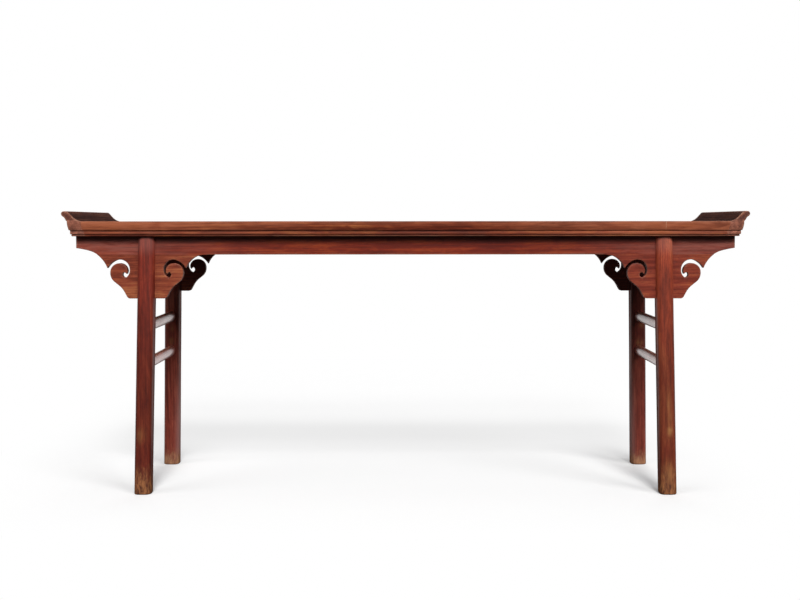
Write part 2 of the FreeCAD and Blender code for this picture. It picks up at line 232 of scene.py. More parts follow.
def soften(points, radius, closed=False):
    """The same line with an arc of about the radius at each sharp corner."""
    count = len(points)
    softened = []
    for i, here in enumerate(points):
        if not closed and i in (0, count - 1):
            softened.append(here)
            continue
        before, after = points[i - 1], points[(i + 1) % count]
        turn = abs(turn_angle(before, here, after))
        if turn < LEAST_SHARP_TURN:
            softened.append(here)
            continue
        size = radius(here) if callable(radius) else radius
        # Two corners never take up the whole of the side between them.
        room = 0.45 * min(math.dist(before, here), math.dist(here, after))
        back = min(size * math.tan(turn / 2), room)
        into = Vector(before) - Vector(here)
        out = Vector(after) - Vector(here)
        first = Vector(here) + into.normalized() * back
        last = Vector(here) + out.normalized() * back
        for t in (0.0, 0.25, 0.5, 0.75, 1.0):
            bend = first * (1 - t) ** 2 + Vector(here) * (2 * t * (1 - t)) + last * t**2
            softened.append(tuple(bend))
    return softened


def moulding_steps():
    """The edge moulding below its upper arris, as (inset, drop) steps."""
    band_radius = (UPPER_BAND_HEIGHT**2 + UPPER_BAND_RECEDE**2) / (2 * UPPER_BAND_RECEDE)
    half_band = UPPER_BAND_HEIGHT / 2
    half_band_inset = band_radius - math.sqrt(band_radius**2 - half_band**2)
    quirk_inset = UPPER_BAND_RECEDE + QUIRK_DEPTH
    torus_top = UPPER_BAND_HEIGHT + QUIRK_HEIGHT
    torus_foot = torus_top + TORUS_HEIGHT
    torus_foot_inset = quirk_inset + TORUS_RECEDE
    cove_inset = torus_foot_inset + COVE_DEPTH
    bead_top = torus_foot + COVE_HEIGHT
    torus_middle = ((quirk_inset + torus_foot_inset) / 2 - TORUS_SWELL, torus_top + TORUS_HEIGHT / 2)
    bead_inset = cove_inset + BEAD_RECEDE
    bead_middle = ((cove_inset + bead_inset) / 2 - BEAD_SWELL, bead_top + BEAD_HEIGHT / 2)
    return [
        ((half_band_inset, half_band), (UPPER_BAND_RECEDE, UPPER_BAND_HEIGHT)),
        (quirk_inset, UPPER_BAND_HEIGHT),
        (quirk_inset, torus_top),
        (torus_middle, (torus_foot_inset, torus_foot)),
        (cove_inset, torus_foot),
        (cove_inset, bead_top),
        (bead_middle, (bead_inset, FRAME_THICKNESS)),
    ]


def moulding_line():
    """The moulding from the upper arris to the underside, with its arrises softened."""
    line = walk((0.0, 0.0), moulding_steps())
    line = [(0.004, 0.0)] + line + [(line[-1][0] + 0.003, FRAME_THICKNESS)]
    return soften(line, lambda p: ARRIS if p[1] < UPPER_BAND_HEIGHT else ARRIS / 2)


def flange_line():
    """The flange from its foot to the upper arris, as (outside the arris, above the top)."""
    face = [(x * FLANGE_FOOT_REACH, z * FLANGE_RISE) for x, z in FLANGE_FACE_SHARES]
    under = [(x * NOSE_OVERHANG, z * FLANGE_RISE) for x, z in NOSE_UNDERSIDE_SHARES]
    crest = (CREST_SHARE * NOSE_OVERHANG, FLANGE_RISE)
    nose_x, nose_z = NOSE_OVERHANG - NOSE_RADIUS, FLANGE_RISE - NOSE_RADIUS
    diagonal = NOSE_RADIUS * math.sqrt(0.5)
    steps = [
        (face[0], face[1]),
        face[2],
        (face[3], crest),
        (nose_x, FLANGE_RISE),
        ((nose_x + diagonal, nose_z + diagonal), (NOSE_OVERHANG, nose_z)),
        (under[0], under[1]),
        (under[2], under[3]),
        (under[4], (0.0, 0.0)),
    ]
    return walk((-FLANGE_FOOT_REACH, 0.0), steps)


def spandrel_point(shares, side):
    """A point of the right-hand spandrel as (x, z); side is 1 towards the table's end."""
    across, down = shares
    return (SPANDREL_X + side * across * SPANDREL_REACH, APRON_BOTTOM - down * SPANDREL_DROP)


def spandrel_outline():
    """The whole outline of the right-hand spandrel, as (x, z) points."""
    def scroll(side):
        steps = []
        for middle, end in SCROLL_SHARES:
            point = spandrel_point(end, side)
            steps.append((spandrel_point(middle, side), point) if middle else point)
        return steps

    tip_out, tip_in = (spandrel_point(SPUR_TIP_SHARES, side) for side in (1, -1))
    spur_in = [spandrel_point(shares, -1) for shares in INNER_SPUR_SHARES]
    outer = walk(
        (SPANDREL_X + OUTER_CORNER_REACH, APRON_BOTTOM),
        [(spandrel_point(OUTER_SPUR_SHARES, 1), tip_out)] + scroll(1),
    )
    inner = walk(
        (SPANDREL_X - INNER_CORNER_REACH, APRON_BOTTOM),
        [(spur_in[2], spur_in[1]), (spur_in[0], tip_in)] + scroll(-1),
    )
    return outer + inner[::-1]


def even_points(start, end, count):
    """Points on the straight way from start to end, in even steps."""
    return [tuple(Vector(start).lerp(Vector(end), k / count)) for k in range(count + 1)]


def divided(points, step):
    """A closed outline with its long sides divided."""
    out = []
    for here, after in zip(points, points[1:] + points[:1]):
        count = max(1, math.ceil(math.dist(here, after) / step - HAIR))
        out += even_points(here, after, count)[:-1]
    return out


def stations(low, high, step):
    """Even stations from low to high, no more than a step apart."""
    count = max(1, math.ceil((high - low) / step))
    return [low + (high - low) * k / count for k in range(count + 1)]


def quarter_turn(count):
    """Even angles from 0 to a quarter turn."""
    return [math.pi / 2 * k / count for k in range(count + 1)]


def rounded_slab(half_width, height, radius, spacing):
    """A rectangle on its lower side's middle with soft corners, finer below and at one side."""
    outline = [(x, 0.0) for x in stations(-half_width, half_width, spacing)][:-1]
    outline += [(half_width, z) for z in stations(0.0, height, spacing)][:-1]
    outline += [(half_width, height), (-half_width, height)]
    return soften(outline, radius, closed=True)


# Mesh work

def smooth_between(value, low, high):
    """A smooth way from 0 at low to 1 at high."""
    t = min(1.0, max(0.0, (value - low) / (high - low)))
    return t * t * (3 - 2 * t)


def bell(distance, reach):
    """1 at no distance, fading to nothing within a few reaches."""
    return math.exp(-((distance / reach) ** 2))


def waves(point, closeness, start=0.0):
    """A vector that wanders with the place, faster where the closeness is higher."""
    x, y, z = (value * close for value, close in zip(point, closeness))
    return noise.noise_vector(Vector((x + start, y, z)))


def hand_worked(point):
    """The slight unevenness that hand planes leave, the same for pieces that touch."""
    slow = waves(point, SLOW_WAVES) * SLOW_WAVE_HEIGHT
    shift = slow + waves(point, FAST_WAVES, start=7.0) * FAST_WAVE_HEIGHT
    shift.z *= min(1.0, max(0.0, point[2] / FLAT_FOOT_HEIGHT))
    return Vector(point) + shift


def nearest(points):
    """What finds the nearest of some points, with its distance as the third result."""
    tree = kdtree.KDTree(len(points))
    for i, point in enumerate(points):
        tree.insert(point, i)
    tree.balance()
    return tree


class Skin:
    """The points and faces of one piece in the making."""

    def __init__(self):
        self.points = []
        self.faces = []

    def strip(self, rows, wrap=False):
        """Quads between neighbouring rows of points."""
        base, width = len(self.points), len(rows[0])
        for row in rows:
            self.points.extend(row)
        for r in range(len(rows) - 1):
            for c in range(width if wrap else width - 1):
                a, b = base + r * width + c, base + r * width + (c + 1) % width
                self.faces.append((a, b, b + width, a + width))

    def patch(self, points):
        """One flat face."""
        base = len(self.points)
        self.points.extend(points)
        self.faces.append(tuple(range(base, base + len(points))))

    def fill(self, outline, lift, spacing):
        """Small triangles inside an outline; lift turns its points into points of space."""
        inner = []
        low_x, low_z = (min(p[k] for p in outline) for k in (0, 1))
        high_x, high_z = (max(p[k] for p in outline) for k in (0, 1))
        edge = nearest([(x, z, 0.0) for x, z in outline])
        for i in range(int((high_x - low_x) / spacing) + 1):
            for j in range(int((high_z - low_z) / spacing) + 1):
                stagger = spacing / 2 if j % 2 else 0.0
                point = Vector((low_x + i * spacing + stagger, low_z + (j + 0.5) * spacing, 0.0))
                # A point too near the outline would make a thin triangle.
                if edge.find(point)[2] > spacing * 0.55:
                    inner.append(point.to_2d())
        coords = [Vector(p) for p in outline] + inner
        made = geometry.delaunay_2d_cdt(coords, [], [list(range(len(outline)))], 1, 1e-7)
        base = len(self.points)
        self.points.extend(lift(x, z) for x, z in made[0])
        self.faces.extend(tuple(base + i for i in face) for face in made[2])


def swept(rows):
    """The skin of closed sections in a row, with both ends shut."""
    skin = Skin()
    skin.strip(rows, wrap=True)
    skin.patch(rows[0])
    skin.patch(rows[-1])
    return skin


def placed(name, data):
    """A new object in the scene."""
    thing = bpy.data.objects.new(name, data)
    bpy.context.scene.collection.objects.link(thing)
    return thing


def finished_mesh(thing):
    """An object's mesh with its modifiers worked in."""
    bpy.context.view_layer.update()
    evaluated = thing.evaluated_get(bpy.context.evaluated_depsgraph_get())
    return bpy.data.meshes.new_from_object(evaluated)


def wood_piece(name, skin, material, nodes, arris=None, worn=None, edge_wear=None):
    """A closed mesh that rides the table and stands for the CAD nodes.

    arris(point) gives the softening of a sharp edge there. worn(point) and edge_wear(point)
    say from 0 to 1 how rubbed the face and the nearest edge are; without edge_wear, the
    softened arrises are worn.
    """
    mesh = bpy.data.meshes.new(name)
    mesh.from_pydata([tuple(v) for v in skin.points], [], skin.faces)
    work = bmesh.new()
    work.from_mesh(mesh)
    bmesh.ops.remove_doubles(work, verts=work.verts, dist=MERGED)
    bmesh.ops.recalc_face_normals(work, faces=work.faces)
    weight = work.edges.layers.float.new("bevel_weight_edge")
    sharp_points = []
    for edge in work.edges:
        if len(edge.link_faces) != 2 or edge.calc_face_angle_signed(0.0) < LEAST_SOFTENED_EDGE:
            continue
        middle = (edge.verts[0].co + edge.verts[1].co) / 2
        soft = arris(middle) if arris else 0.0
        edge[weight] = min(1.0, soft / ARRIS)
        if soft > TIGHT_ARRIS:
            count = max(1, math.ceil(edge.calc_length() / WEAR_STEP))
            sharp_points += even_points(*(vert.co for vert in edge.verts), count)
    near_edge = work.verts.layers.float.new("edge_wear")
    rubbed = work.verts.layers.float.new("rubbed")
    if sharp_points:
        tree = nearest(sharp_points)
        for vert in work.verts:
            vert[near_edge] = math.exp(-tree.find(vert.co)[2] / EDGE_WEAR_REACH)
    for vert in work.verts:
        vert[rubbed] = worn(vert.co) if worn else 0.0
        if edge_wear:
            vert[near_edge] = edge_wear(vert.co)
        vert.co = hand_worked(vert.co)
    work.to_mesh(mesh)
    work.free()
    mesh.shade_smooth()
    mesh.materials.append(material)
    piece = placed(name, mesh)
    if arris:
        bevel = piece.modifiers.new("softened arrises", "BEVEL")
        bevel.limit_method = "WEIGHT"
        bevel.width = ARRIS
        bevel.segments = 3
        bevel.use_clamp_overlap = False
    finished = finished_mesh(piece)
    piece.modifiers.clear()
    piece.data = finished
    finished.name = name
    finished.set_sharp_from_angle(angle=LEAST_CREASED_EDGE)
    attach(piece, "root")
    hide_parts(*nodes)
    return piece


# Node trees

def operator(operation, swapped=False):
    """What makes the node of an operation on a wire and another value."""
    def apply(wire, other=0.0):
        values = (other, wire) if swapped else (wire, other)
        return wire.kit.maths(operation, *values)
    return apply


class Wire:
    """A node's output. Arithmetic with it makes the nodes that work the result out."""

    def __init__(self, kit, socket):
        self.kit = kit
        self.socket = socket

    __add__ = operator("ADD")
    __sub__ = operator("SUBTRACT")
    __rsub__ = operator("SUBTRACT", swapped=True)
    __mul__ = operator("MULTIPLY")
    __truediv__ = operator("DIVIDE")
    __rtruediv__ = operator("DIVIDE", swapped=True)
    __pow__ = operator("POWER")
    __abs__ = operator("ABSOLUTE")


class Nodes:
    """Makes the nodes of one tree; an input is given a plain value or a wire."""

    def __init__(self, tree):
        self.tree = tree

    def add(self, kind, values=None, **settings):
        """A node with its settings and inputs."""
        made = self.tree.nodes.new(kind)
        for key, value in settings.items():
            setattr(made, key, value)
        for key, value in (values or {}).items():
            if isinstance(value, Wire):
                self.tree.links.new(value.socket, made.inputs[key])
            else:
                made.inputs[key].default_value = value
        return made

    def out(self, kind, output=0, values=None, **settings):
        """One output of a new node."""
        return Wire(self, self.add(kind, values, **settings).outputs[output])

    def outs(self, kind, values=None):
        """All outputs of a new node, by name."""
        return {socket.name: Wire(self, socket) for socket in self.add(kind, values).outputs}

    def maths(self, operation, a, b=0.0, clamp=False):
        """The result of one operation on one or two numbers."""
        return self.out("ShaderNodeMath", 0, {0: a, 1: b}, operation=operation, use_clamp=clamp)

    def ranged(self, value, low, high, to_low=0.0, to_high=1.0):
        """A smooth way from to_low to to_high while the value goes from low to high."""
        return self.out("ShaderNodeMapRange", "Result", {
            "Value": value, "From Min": low, "From Max": high, "To Min": to_low, "To Max": to_high,
        }, interpolation_type="SMOOTHSTEP")

    def chosen(self, factor, a, b):
        """A number between a and b."""
        return self.out("ShaderNodeMix", 0, {0: factor, 2: a, 3: b})

    def mixed(self, factor, a, b, blend="MIX"):
        """A colour between a and b."""
        return self.out("ShaderNodeMix", 2, {0: factor, 6: a, 7: b}, data_type="RGBA", blend_type=blend)

    def grey(self, value):
        """A number as a colour."""
        return self.out("ShaderNodeCombineColor", 0, {"Red": value, "Green": value, "Blue": value})

    def shaded(self, tint, value):
        """A colour made darker or lighter."""
        return self.mixed(1.0, tint, self.grey(value), "MULTIPLY")

    def vector(self, **parts):
        """A vector of the parts X, Y and Z."""
        return self.out("ShaderNodeCombineXYZ", 0, parts)


def emptied(owner):
    """The node kit of a material or world, with no nodes in it."""
    owner.use_nodes = True
    owner.node_tree.nodes.clear()
    return Nodes(owner.node_tree)


def new_tree(name, labels):
    tree = bpy.data.node_groups.new(name, "GeometryNodeTree")
    for direction in ("INPUT", "OUTPUT"):
        tree.interface.new_socket("Geometry", in_out=direction, socket_type="NodeSocketGeometry")
    sockets = {}
    for label in labels:
        kind = {"Count": "Int", "Material": "Material"}.get(label, "Float")
        made = tree.interface.new_socket(label, in_out="INPUT", socket_type="NodeSocket" + kind)
        sockets[label] = made.identifier
    kit = Nodes(tree)
    return kit, sockets, kit.outs("NodeGroupInput")


def end_tree(kit, shape, material):
    """Give the shape its material and make it the tree's result."""
    real = kit.out("GeometryNodeRealizeInstances", 0, {"Geometry": shape})
    dressed = kit.out("GeometryNodeSetMaterial", 0, {"Geometry": real, "Material": material})
    kit.add("NodeGroupOutput", {0: dressed})


def grown(name, kit, sockets, values):
    """The plain mesh that a tree makes from the values of its inputs."""
    carrier = placed(name, bpy.data.meshes.new(name))
    modifier = carrier.modifiers.new(kit.tree.name, "NODES")
    modifier.node_group = kit.tree
    for label, value in values.items():
        modifier[sockets[label]] = value
    mesh = finished_mesh(carrier)
    bpy.data.objects.remove(carrier)
    return mesh


# Pieces of the top

def moulded_rail(name, side, node, material):
    """Long member of the frame; side is -1 for the front and 1 for the back."""
    line = moulding_line()
    top = [(RAIL_WIDTH, 0.0), (0.008, 0.0)]
    below = [(inset, FRAME_THICKNESS) for inset in stations(line[-1][0] + 0.006, RAIL_WIDTH, 0.014)]
    section = top + line + below
    rows = []
    for t in stations(-1.0, 1.0, RUN_STEP / FOOT_LINE):
        rows.append([
            Vector((t * (FOOT_LINE - inset), side * (HALF_DEPTH - inset), TOP_HEIGHT - drop))
            for inset, drop in section
        ])
    skin = swept(rows)
    torus_crest = TOP_HEIGHT - UPPER_BAND_HEIGHT - QUIRK_HEIGHT - TORUS_HEIGHT / 2

    def edge_wear(point):
        """The upper arris is rubbed towards the ends, and the underside's all but the left end."""
        across = math.hypot(HALF_DEPTH - abs(point.y), TOP_HEIGHT - point.z)
        arris = math.exp(-across / 0.0032) * (0.15 + 0.35 * smooth_between(abs(point.x), 0.5, 0.9))
        if HALF_DEPTH - abs(point.y) >= RAIL_WIDTH / 2:
            return arris
        torus = 0.08 * bell(point.z - torus_crest, 0.0024)
        underside = bell(point.z - FRAME_BOTTOM, 0.0020) * smooth_between(point.x, -0.8, -0.3)
        return max(arris, torus, underside)

    def worn(point):
        """The outer face is lighter towards the ends, high up, and a little at the right."""
        along = smooth_between(abs(point.x), 0.15, 0.75)
        face = smooth_between(HALF_DEPTH - abs(point.y), 0.012, 0.0)
        high = smooth_between(TOP_HEIGHT - point.z, 0.020, 0.0)
        right = smooth_between(point.x, 0.1, 0.6)
        lower = smooth_between(TOP_HEIGHT - point.z, 0.020, 0.030)
        outer = face * (0.9 * along + 0.5 * high * (1 - 0.4 * along))
        return min(1.0, outer + right * (0.2 + 0.05 * lower))

    return wood_piece(name, skin, material, [node], None, worn, edge_wear)


def flanged_end(name, side, node, material):
    """Short member of the frame with its flange; side is 1 at the right-hand end."""
    flange = flange_line()
    moulding = moulding_line()[6:]
    section = [(x, z, 0.0) for x, z in flange]
    section += [(-inset, -drop, inset) for inset, drop in moulding]

    def plane(y):
        return lambda x, z: Vector((side * x, y, z))

    def level(height):
        return lambda x, y: Vector((side * x, y, height))

    skin = Skin()
    rows = []
    for t in stations(-1.0, 1.0, 0.008 / HALF_DEPTH):
        rows.append([
            Vector((side * (HALF_LENGTH + x), t * (HALF_DEPTH - back), TOP_HEIGHT + z))
            for x, z, back in section
        ])
    skin.strip(rows)

    # The moulding returns on the front and the back, under the flange's end faces.
    returns = {}
    for face_side in (-1, 1):
        columns = []
        for k in range(RETURN_COUNT + 1):
            along = FOOT_LINE + FLANGE_FOOT_REACH * k / RETURN_COUNT
            columns.append([
                Vector((side * (along - inset), face_side * (HALF_DEPTH - inset), TOP_HEIGHT - drop))
                for inset, drop in [(0.0, 0.0)] + moulding
            ])
        skin.strip(columns)
        returns[face_side] = columns
        outline = [(HALF_LENGTH + x, TOP_HEIGHT + z) for x, z in flange]
        outline += [(abs(column[0].x), TOP_HEIGHT) for column in columns[-2:0:-1]]
        skin.fill(outline, plane(face_side * HALF_DEPTH), FINE_SPACING)

    # The upper and lower faces run along the mitres and the panel, where walls join them.
    corners = [(PANEL_HALF_LENGTH, PANEL_HALF_WIDTH), (PANEL_HALF_LENGTH, -PANEL_HALF_WIDTH)]
    top = [(abs(row[0].x), row[0].y) for row in rows]
    under = [(abs(column[-1].x), column[-1].y) for column in returns[-1][:-1]]
    under += [(abs(row[-1].x), row[-1].y) for row in rows]
    under += [(abs(column[-1].x), column[-1].y) for column in returns[1][-2::-1]]
    steps = {}
    for height, run in ((TOP_HEIGHT, top), (FRAME_BOTTOM, under)):
        hidden = []
        for a, b, count in (
            (run[-1], corners[0], MITRE_COUNT),
            (*corners, PANEL_SIDE_COUNT),
            (corners[1], run[0], MITRE_COUNT),
        ):
            hidden.append(even_points(a, b, count))
        outline = run + hidden[0][1:] + hidden[1][1:] + hidden[2][1:-1]
        skin.fill(outline, level(height), FACE_SPACING)
        steps[height] = hidden
    for part, ends in enumerate((returns[1][0], None, returns[-1][0])):
        upper, lower = (
            [Vector((side * x, y, height)) for x, y in steps[height][part]]
            for height in (TOP_HEIGHT, FRAME_BOTTOM)
        )
        if part == 0:
            skin.patch(ends[::-1] + upper[1:2] + lower[1:2])
            skin.strip([upper[1:], lower[1:]])
        elif part == 1:
            skin.strip([upper, lower])
        else:
            skin.patch(ends + lower[-2:-1] + upper[-2:-1])
            skin.strip([upper[:-1], lower[:-1]])

    def arris(point):
        """The flange's end faces are eased, and less so the mitred corner of the moulding."""
        inset = HALF_LENGTH - abs(point.x)
        if point.z > TOP_HEIGHT + OFF_FACE and abs(point.y) > HALF_DEPTH - ON_FACE:
            return ARRIS
        on_corner = abs(inset - (HALF_DEPTH - abs(point.y))) < ON_FACE
        return ARRIS * 0.5 if on_corner and point.z > FRAME_BOTTOM + ON_FACE else 0.0

    def worn(point):
        """Rubbed are the crest, the nose, the front arrises and a line along the flange's foot."""
        crest = bell(point.z - TOP_HEIGHT - FLANGE_RISE, 0.003)
        nose = bell(abs(point.x) - HALF_LENGTH - NOSE_OVERHANG, 0.006)
        front = smooth_between(HALF_DEPTH - abs(point.y), 0.010, 0.0)
        if point.z < TOP_HEIGHT - 0.001:
            front = smooth_between(HALF_DEPTH - abs(point.y), 0.024, 0.014)
        foot = HALF_LENGTH - FLANGE_FOOT_REACH - abs(point.x) + (point.z - TOP_HEIGHT) * 1.3
        line = front * bell(foot + 0.006, 0.004) * (point.z > TOP_HEIGHT)
        band = 0.9 if point.z < TOP_HEIGHT + 0.002 else 0.10
        return max(0.4 * crest, 0.3 * nose, band * front, 0.95 * line)

    return wood_piece(name, skin, material, [node], arris, worn)


def panel_plank(name, low_y, high_y, node, material):
    """Floating board of the panel, flush with the frame."""
    middle, half_width = (low_y + high_y) / 2, (high_y - low_y) / 2
    section = rounded_slab(half_width, PANEL_THICKNESS, 0.0006, 0.009)
    reach = PANEL_HALF_LENGTH - PANEL_PLAY
    skin = swept([
        [Vector((x, middle + y, PANEL_BOTTOM + z)) for y, z in section]
        for x in stations(-reach, reach, 0.015)
    ])
    return wood_piece(name, skin, material, [node])


def cross_braces(material):
    """The battens under the panel: an eased section drawn out and set out at a pitch."""
    kit, sockets, given = new_tree("brace row", (
        "Width", "Height", "Length", "Eased edge", "Pitch", "Count", "Middle height", "Material",
    ))
    section = kit.out("GeometryNodeCurvePrimitiveQuadrilateral", "Curve", {
        "Width": given["Width"], "Height": given["Height"],
    })
    eased = kit.out("GeometryNodeFilletCurve", 0, {
        "Curve": section, "Radius": given["Eased edge"], "Count": 3,
    }, mode="POLY")
    near, far = (kit.vector(Y=given["Length"] * share) for share in (-0.5, 0.5))
    run = kit.out("GeometryNodeCurvePrimitiveLine", 0, {"Start": near, "End": far})
    fine = kit.out("GeometryNodeResampleCurve", 0, {"Curve": run, "Count": BRACE_STATIONS})
    batten = kit.out("GeometryNodeCurveToMesh", 0, {
        "Curve": fine, "Profile Curve": eased, "Fill Caps": True,
    })
    first = (given["Count"] - 1.0) * given["Pitch"] * -0.5
    places = kit.out("GeometryNodeMeshLine", 0, {
        "Count": given["Count"],
        "Start Location": kit.vector(X=first, Z=given["Middle height"]),
        "Offset": kit.vector(X=given["Pitch"]),
    })
    set_out = kit.out("GeometryNodeInstanceOnPoints", 0, {"Points": places, "Instance": batten})
    end_tree(kit, set_out, given["Material"])

    height = PANEL_BOTTOM - FRAME_BOTTOM - BRACE_RECESS
    row = placed("cross_brace_row", grown("cross_brace_row", kit, sockets, {
        "Width": BRACE_WIDTH,
        "Height": height,
        "Length": 2 * PANEL_HALF_WIDTH,
        "Eased edge": BRACE_ARRIS,
        "Pitch": 2 * PANEL_HALF_LENGTH / (BRACE_COUNT + 1),
        "Count": BRACE_COUNT,
        "Middle height": PANEL_BOTTOM - height / 2,
        "Material": material,
    }))
    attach(row, "root")
    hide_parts(*["cross_brace_%d" % (i + 1) for i in range(BRACE_COUNT)])
    return row


# Boards under the top

def apron_lower_edge():
    """Heights of the apron's lower edge, as a list of (distance from the middle, height)."""
    start = SPANDREL_X + OUTER_CORNER_REACH
    run = APRON_HALF_LENGTH - start
    climb = APRON_END_BOTTOM - APRON_BOTTOM
    at = [(start + a * run, APRON_BOTTOM + c * climb) for a, c in END_CURVE_SHARES]
    return walk((start, APRON_BOTTOM), [(at[0], at[1]), (at[2], (APRON_HALF_LENGTH, APRON_END_BOTTOM))])


def height_at(line, x):
    """Height of a line at a distance; it runs on level before its first point."""
    if x <= line[0][0]:
        return line[0][1]
    for (x0, z0), (x1, z1) in zip(line, line[1:]):
        if x <= x1:
            return z0 + (z1 - z0) * (x - x0) / (x1 - x0)
    return line[-1][1]


def apron_ring(half, bottom, soft):
    """Section of the apron as (y from its middle, z), the lower corners softened."""
    def corner(edge):
        points = []
        for angle in quarter_turn(4):
            inside, above = soft * (1 - math.cos(angle)), soft * (1 - math.sin(angle))
            points.append((edge * (half - inside), bottom + above))
        return points if edge > 0 else points[::-1]

    drop = FRAME_BOTTOM - bottom
    down = [(half, FRAME_BOTTOM - drop * k / 9) for k in range(9)]
    across = [(half * t, bottom) for t in (0.5, 0.0, -0.5)]
    up = [(-half, bottom + drop * k / 9) for k in range(1, 10)]
    over = [(half * t, FRAME_BOTTOM) for t in (-0.5, 0.0, 0.5)]
    return down + corner(1) + across + corner(-1) + up + over


def on_apron_corner(point):
    """Whether a point is on the mitred corner of the aprons, below the frame."""
    at_corner = abs(abs(point.x) - APRON_HALF_LENGTH) < ON_FACE
    return at_corner and point.z < FRAME_BOTTOM - OFF_FACE


def long_apron(name, side, node, material):
    """Apron under a long rail, swept up to its mitred ends."""
    lower = apron_lower_edge()
    half = BOARD_THICKNESS / 2
    covered = (SPANDREL_X - INNER_CORNER_REACH, SPANDREL_X + OUTER_CORNER_REACH)
    rows = []
    for t in stations(-1.0, 1.0, 0.006 / APRON_HALF_LENGTH):
        x = abs(t) * APRON_HALF_LENGTH
        soft = TIGHT_ARRIS if covered[0] < x < covered[1] else ARRIS
        rows.append([
            Vector((t * (APRON_HALF_LENGTH - (half - y)), side * (BOARD_Y + y), z))
            for y, z in apron_ring(half, height_at(lower, x), soft)
        ])
    skin = swept(rows)

    def arris(point):
        return ARRIS * 0.5 if on_apron_corner(point) else 0.0

    def edge_wear(point):
        if covered[0] < abs(point.x) < covered[1]:
            return 0.0
        foot = math.hypot(point.z - height_at(lower, abs(point.x)), half - abs(abs(point.y) - BOARD_Y))
        corner = APRON_HALF_LENGTH - abs(point.x)
        return 0.7 * math.exp(-min(foot, corner) / EDGE_WEAR_REACH)

    def worn(point):
        return 0.75 * smooth_between(abs(point.x), 0.35, APRON_HALF_LENGTH)

    return wood_piece(name, skin, material, [node], arris, worn, edge_wear)


def end_apron(name, side, node, material):
    """Short apron between the two long ones."""
    half = BOARD_THICKNESS / 2
    section = rounded_slab(half, APRON_END_HEIGHT, 0.0, 0.0046)
    middle = APRON_HALF_LENGTH - half
    skin = swept([
        [Vector((side * (middle + x), t * (BOARD_Y + x), APRON_END_BOTTOM + z)) for x, z in section]
        for t in stations(-1.0, 1.0, 0.03)
    ])

    def arris(point):
        if abs(point.z - APRON_END_BOTTOM) < ON_FACE:
            return ARRIS
        at_end = abs(abs(point.y) - BOARD_Y - half) < ON_FACE
        return ARRIS * 0.5 if at_end and on_apron_corner(point) else 0.0

    return wood_piece(name, skin, material, [node], arris)


def eased_edge(outline, inward):
    """How far the arris is eased at each point of an outline, less where the wood is narrow.

    The circle that touches the outline at the point from inside may not reach past it anywhere.
    """
    room = []
    for here, way in zip(outline, inward):
        # It stays below the joint as well; 1.001 instead of 1 keeps the quotient finite.
        radius = (APRON_BOTTOM - here[1]) / (1.001 + way.y)
        for x, z in outline:
            dx, dz = x - here[0], z - here[1]
            inside = dx * way.x + dz * way.y
            if inside > 1e-9:
                radius = min(radius, (dx * dx + dz * dz) / (2 * inside))
        at_joint = here[1] > APRON_BOTTOM - HAIR
        room.append(0.0 if at_joint else min(SCROLL_ARRIS, 0.6 * radius))
    count = len(room)
    lowest = [min(room[(i + k) % count] for k in (-1, 0, 1)) for i in range(count)]
    return [sum(lowest[(i + k) % count] for k in (-1, 0, 1)) / 3 * (room[i] > 0) for i in range(count)]


def spandrel(name, side_x, side_y, node, material):
    """Cloud-scroll board below the apron, cut from one plank, its arrises eased."""
    outline = spandrel_outline()
    outline = soften(outline, lambda p: 0.0 if p[1] > APRON_BOTTOM - HAIR else ARRIS, closed=True)
    outline = divided(outline, 0.002)
    count = len(outline)
    area = sum(
        outline[i - 1][0] * outline[i][1] - outline[i][0] * outline[i - 1][1] for i in range(count)
    )
    turn = 1 if area > 0 else -1
    inward = []
    for i, here in enumerate(outline):
        before, after = Vector(outline[i - 1]), Vector(outline[(i + 1) % count])
        along = (Vector(here) - before).normalized() + (after - Vector(here)).normalized()
        along.normalize()
        inward.append(Vector((-along.y, along.x)) * turn)
    soft = eased_edge(outline, inward)
    half = BOARD_THICKNESS / 2

    def layer(angle, face):
        """The outline at an angle round its eased arris, on the face that is 1 or -1."""
        ring = []
        for point, way, size in zip(outline, inward, soft):
            x, z = Vector(point) + way * size * (1 - math.sin(angle))
            ring.append((x, z, face * (half - size * (1 - math.cos(angle)))))
        return ring

    layers = [layer(angle, 1) for angle in quarter_turn(3)]
    layers += [[(x, z, half * t) for x, z in outline] for t in (0.5, 0.0, -0.5)]
    layers += [layer(angle, -1) for angle in reversed(quarter_turn(3))]

    def lift(x, z, y):
        return Vector((side_x * x, side_y * (BOARD_Y + y), z))

    skin = Skin()
    skin.strip([[lift(x, z, y) for x, z, y in ring] for ring in layers], wrap=True)
    for ring, y in ((layers[0], half), (layers[-1], -half)):
        edge = [(x, z) for x, z, _ in ring]
        skin.fill(edge, lambda x, z, y=y: lift(x, z, y), FINE_SPACING)
    rim = nearest([(x, z, 0.0) for x, z in outline])

    def edge_wear(point):
        if point.z > APRON_BOTTOM - 0.002:
            return 0.0
        across = rim.find((abs(point.x), point.z, 0.0))[2]
        back = half - abs(abs(point.y) - BOARD_Y)
        return 0.3 * math.exp(-math.hypot(across, back) / EDGE_WEAR_REACH)

    return wood_piece(name, skin, material, [node], edge_wear=edge_wear)


# Legs and stretchers

def leg_reach(angle):
    """Reach of a leg's softly squared section at an angle, as a share of its half width."""
    sides = abs(math.cos(angle)) ** LEG_SQUARENESS + abs(math.sin(angle)) ** LEG_SQUARENESS
    return sides ** (-1 / LEG_SQUARENESS)


def leg_angle(across):
    """Angle at which a leg's surface lies this far across its section."""
    share = across / LEG_HALF_WIDTH
    return math.atan2(share, (1 - abs(share) ** LEG_SQUARENESS) ** (1 / LEG_SQUARENESS))


